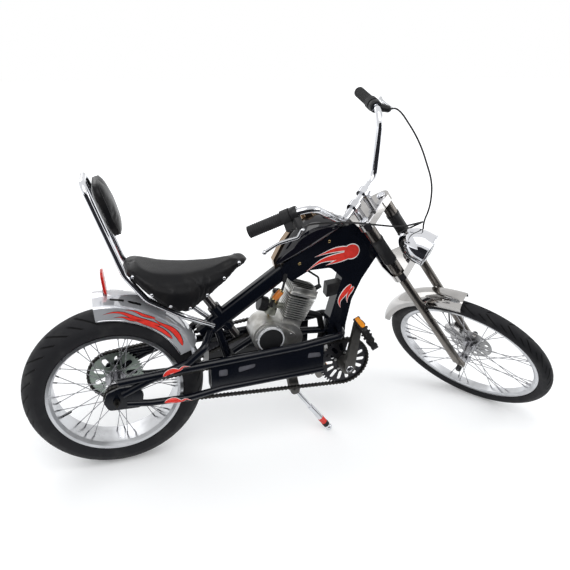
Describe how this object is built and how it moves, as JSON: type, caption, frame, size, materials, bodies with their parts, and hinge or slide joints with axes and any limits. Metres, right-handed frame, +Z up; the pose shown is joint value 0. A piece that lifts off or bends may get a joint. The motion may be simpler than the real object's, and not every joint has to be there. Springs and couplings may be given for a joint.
{
  "type": "motorized chopper bicycle",
  "caption": "Chopper-style bicycle with a small finned engine, raked fork, tall handlebar, fat rear wheel, padded saddle and backrest, parked on its side stand.",
  "frame": {"origin": "middle of the box's underside, on the ground as parked", "axes": "+X along the bike towards the front wheel, +Y to its left, +Z up from the ground"},
  "size_m": [1.7859, 0.5826, 1.2112],
  "materials": {
    "black_leather": "black vinyl over foam",
    "black_paint": "gloss black paint",
    "black_plastic": "matt black",
    "black_rubber": "black rubber",
    "cast_alloy": "as cast",
    "chain_steel": "oiled dark chain",
    "chrome": "bright chrome plate",
    "dark_chrome": "dark chrome plate",
    "lamp_glass": "clear lamp glass",
    "polished_alloy": "polished",
    "red_plastic": "red reflector",
    "steel": "plain steel",
    "tyre_rubber": "black tyre"
  },
  "bodies": {
    "frame": {"frame_neck": "black_paint", "frame_backbone": "black_paint", "frame_down_tube": "black_paint", "frame_side_right": "black_paint", "frame_side_left": "black_paint", "frame_ties": "black_paint", "tank": "black_paint", "tank_strip": "chrome", "engine_case": "cast_alloy", "clutch_cover": "polished_alloy", "engine_barrel": "cast_alloy", "engine_head": "cast_alloy", "spark_plug": "black_plastic", "engine_cog": "steel", "carburettor": "cast_alloy", "fuel_line": "black_rubber", "air_filter": "black_plastic", "exhaust": "black_paint", "ignition_box": "black_plastic", "engine_mounts": "steel", "seat_post": "chrome", "seat": "black_leather", "sissy_bar": "chrome", "backrest": "black_leather", "rear_fender": "chrome", "rear_reflector": "red_plastic", "chain_pedal": "chain_steel", "chain_engine": "chain_steel", "rear_axle": "steel", "rear_brake": "black_plastic", "stand_bracket": "steel"},
    "fork": {"fork_lower_clamp": "chrome", "fork_upper_clamp": "chrome", "fork_legs": "dark_chrome", "fork_sleeves": "black_paint", "handlebar": "chrome", "bar_risers": "chrome", "bar_grips": "black_rubber", "bar_levers": "polished_alloy", "headlight": "chrome", "headlight_lens": "lamp_glass", "front_fender": "chrome", "front_caliper": "cast_alloy", "front_axle": "steel", "brake_cable": "black_rubber", "lamp_cable": "black_rubber"},
    "front_wheel": {"front_tyre": "tyre_rubber", "front_rim": "polished_alloy", "front_hub": "chrome", "front_disc": "steel"},
    "rear_wheel": {"rear_tyre": "tyre_rubber", "rear_rim": "polished_alloy", "rear_hub": "chrome", "rear_cog": "steel", "rear_sprocket": "steel"},
    "crank": {"crank_arms": "polished_alloy", "chainring": "black_paint"},
    "pedal_right": {"pedal_right": "black_plastic"},
    "pedal_left": {"pedal_left": "black_plastic"},
    "stand": {"stand_leg": "steel"}
  },
  "joints": [
    {"name": "steering", "type": "hinge", "parent": "frame", "child": "fork", "pos_m": [0.33204, 0.04001, 0.63654], "axis": [-0.5914, -0.0488, 0.8049], "range_deg": [0, 118.2]},
    {"name": "front_wheel_spin", "type": "hinge", "parent": "fork", "child": "front_wheel", "pos_m": [0.66455, -0.01982, 0.26225], "axis": [0.6919, 0.4819, 0.5376], "continuous": true},
    {"name": "rear_wheel_spin", "type": "hinge", "parent": "frame", "child": "rear_wheel", "pos_m": [-0.60699, 0.0613, 0.28558], "axis": [0, 0.9982, 0.0605], "continuous": true},
    {"name": "crank_spin", "type": "hinge", "parent": "frame", "child": "crank", "pos_m": [0.16899, 0.06068, 0.29571], "axis": [0, 0.9982, 0.0605], "continuous": true},
    {"name": "pedal_right_spin", "type": "hinge", "parent": "crank", "child": "pedal_right", "pos_m": [0.18948, -0.12334, 0.45564], "axis": [0, 0.9982, 0.0605], "continuous": true},
    {"name": "pedal_left_spin", "type": "hinge", "parent": "crank", "child": "pedal_left", "pos_m": [0.1485, 0.2447, 0.13578], "axis": [0, 0.9982, 0.0605], "continuous": true},
    {"name": "stand_fold", "type": "hinge", "parent": "frame", "child": "stand", "pos_m": [-0.00373, 0.02907, 0.18913], "axis": [0.0005, 0.9939, -0.1106], "range_deg": [0, 126.3]}
  ]
}
